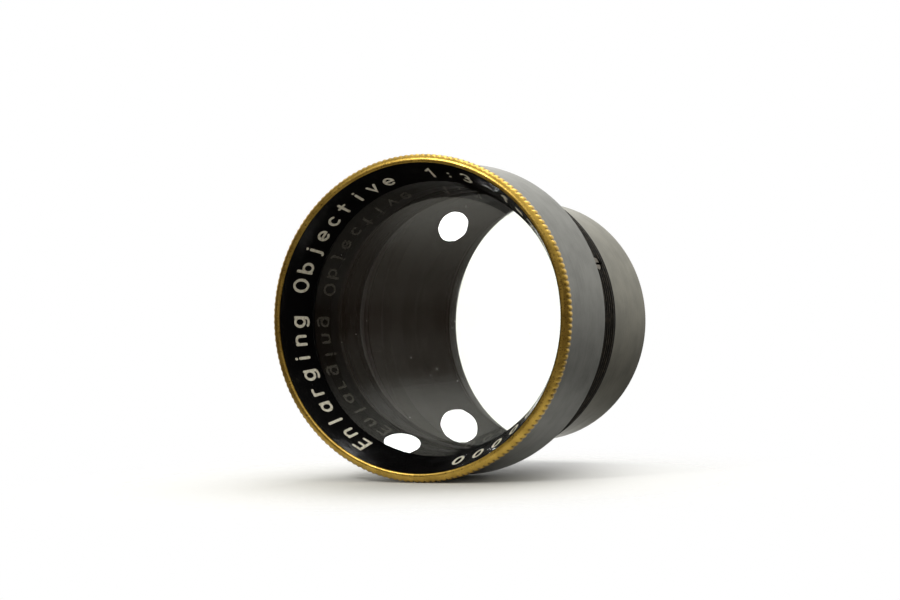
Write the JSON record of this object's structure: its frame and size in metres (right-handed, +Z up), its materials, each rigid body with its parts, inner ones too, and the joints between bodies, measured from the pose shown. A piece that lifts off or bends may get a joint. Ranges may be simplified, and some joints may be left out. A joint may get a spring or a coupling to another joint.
{
  "type": "enlarger lens",
  "caption": "Fixed-focus darkroom lens: knurled brass rim, engraved black cone, glass elements, stepped grey barrel and a threaded black neck.",
  "frame": {"origin": "under the middle of the lens's length, at the lowest point of the knurled rim, with the lens lying on its side", "axes": "+Y along the optical axis from the front rim to the rear tube, +Z up, +X to the right seen from the front"},
  "size_m": [0.032, 0.0286, 0.032],
  "materials": {
    "brass": "bare brass, rubbed bright on the knurl",
    "black_enamel": "gloss black enamel with engraved off-white lettering",
    "satin_barrel": "satin grey with fine turning marks",
    "black_thread": "chemically blackened, fine screw thread",
    "black_brass": "blackened, semi-matt",
    "screw_steel": "worn steel",
    "glass": "polished, uncoated"
  },
  "bodies": {
    "barrel": {"front_barrel": "satin_barrel", "air_space_shim": "brass", "light_baffle": "black_brass", "threaded_neck": "black_thread"},
    "front_glass": {"front_element": "glass"},
    "front_cell": {"front_cell": "black_enamel", "knurled_rim": "brass", "front_retaining_ring": "black_brass"},
    "rear_glasses": {"middle_element": "glass", "rear_element": "glass", "rear_spacer": "black_brass", "fixed_stop": "black_brass"},
    "rear_tube": {"rear_tube": "satin_barrel", "middle_retaining_ring": "black_brass", "rear_retaining_ring": "black_brass"},
    "lock_screw": {"lock_screw": "screw_steel"}
  },
  "joints": [
    {"name": "front_cell_travel", "type": "slide", "parent": "barrel", "child": "front_glass", "axis": [0, -1, 0], "range_m": [0, 0.0035]},
    {"name": "front_cell_turn", "type": "hinge", "parent": "front_glass", "child": "front_cell", "pos_m": [0, -0.0125, 0.016], "axis": [0, -1, 0], "range_deg": [0, 2520]},
    {"name": "rear_tube_travel", "type": "slide", "parent": "barrel", "child": "rear_glasses", "axis": [0, 1, 0], "range_m": [0, 0.005]},
    {"name": "rear_tube_turn", "type": "hinge", "parent": "rear_glasses", "child": "rear_tube", "pos_m": [0, 0.006, 0.016], "axis": [0, 1, 0], "range_deg": [0, 3600]},
    {"name": "lock_screw_turn", "type": "hinge", "parent": "barrel", "child": "lock_screw", "pos_m": [0.0118, 0.00102, 0.02126], "axis": [0.9135, 0, 0.4067], "range_deg": [0, 720]}
  ],
  "couplings": [
    {"joint": "front_cell_travel", "follows": "front_cell_turn", "m_per_rad": 0.000079577},
    {"joint": "rear_tube_travel", "follows": "rear_tube_turn", "m_per_rad": 0.000079577}
  ]
}
